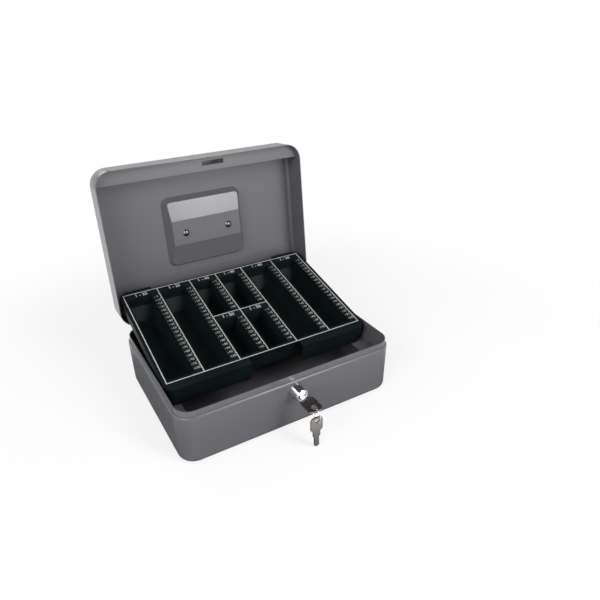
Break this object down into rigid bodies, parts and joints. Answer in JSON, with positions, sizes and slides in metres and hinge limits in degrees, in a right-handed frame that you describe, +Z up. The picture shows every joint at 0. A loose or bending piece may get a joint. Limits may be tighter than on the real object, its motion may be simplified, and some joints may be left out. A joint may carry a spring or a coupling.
{
  "type": "cash box",
  "caption": "Lockable steel cash box with a hinged lid, lift-out coin tray, cam lock with keys on a ring and a folding bail handle.",
  "frame": {"origin": "middle of the underside of the body, on the ground", "axes": "+Z up, +X to the right seen from the front, +Y to the rear where the hinges are"},
  "size_m": [0.25, 0.2773, 0.2417],
  "materials": {
    "satin_grey_paint": "satin",
    "inner_grey_paint": "satin",
    "bright_chrome": "polished",
    "zinc_plate": "satin",
    "nickel_key": "polished",
    "black_tray_plastic": "satin"
  },
  "bodies": {
    "box_body": {"body_shell": "satin_grey_paint", "tray_ledge_left": "inner_grey_paint", "tray_ledge_right": "inner_grey_paint", "lock_housing": "bright_chrome", "lock_nut": "zinc_plate", "body_leaf_left": "satin_grey_paint", "body_leaf_right": "satin_grey_paint", "hinge_pin_left": "zinc_plate", "hinge_pin_right": "zinc_plate", "body_rivets": "zinc_plate"},
    "lid": {"lid_shell": "satin_grey_paint", "strike_plate": "inner_grey_paint", "lid_leaf_left": "satin_grey_paint", "lid_leaf_right": "satin_grey_paint", "lid_rivets": "zinc_plate", "handle_post_left": "bright_chrome", "handle_post_right": "bright_chrome", "handle_screws": "bright_chrome"},
    "tray": {"coin_tray": "black_tray_plastic"},
    "bail": {"handle_bail": "bright_chrome"},
    "lock_core": {"lock_plug": "bright_chrome", "latch_cam": "zinc_plate", "cam_screw": "zinc_plate", "key": "nickel_key"},
    "ring": {"key_ring": "bright_chrome"},
    "hanging_key": {"spare_key": "nickel_key"}
  },
  "joints": [
    {"name": "lid_hinge", "type": "hinge", "parent": "box_body", "child": "lid", "pos_m": [0, 0.093, 0.0595], "axis": [1, 0, 0], "range_deg": [0, 96]},
    {"name": "tray_travel", "type": "hinge", "parent": "lid", "child": "tray", "pos_m": [0, 0.09675, 0.0889], "axis": [1, 0, 0], "range_deg": [-109, 0]},
    {"name": "bail_swing", "type": "hinge", "parent": "lid", "child": "bail", "pos_m": [0, 0.13371, 0.15024], "axis": [1, 0, 0], "range_deg": [-12, 84]},
    {"name": "lock_turn", "type": "hinge", "parent": "box_body", "child": "lock_core", "pos_m": [0, -0.09, 0.0455], "axis": [0, -1, 0], "range_deg": [0, 90]},
    {"name": "ring_swing", "type": "hinge", "parent": "lock_core", "child": "ring", "pos_m": [0, -0.1278, 0.0455], "axis": [-1, 0, 0], "range_deg": [-5, 60]},
    {"name": "spare_key_swing", "type": "hinge", "parent": "ring", "child": "hanging_key", "pos_m": [0, -0.1278, 0.0343], "axis": [0, 1, 0], "range_deg": [-60, 60]}
  ],
  "couplings": [
    {"joint": "tray_travel", "follows": "lid_hinge", "ratio": -1.1354}
  ]
}
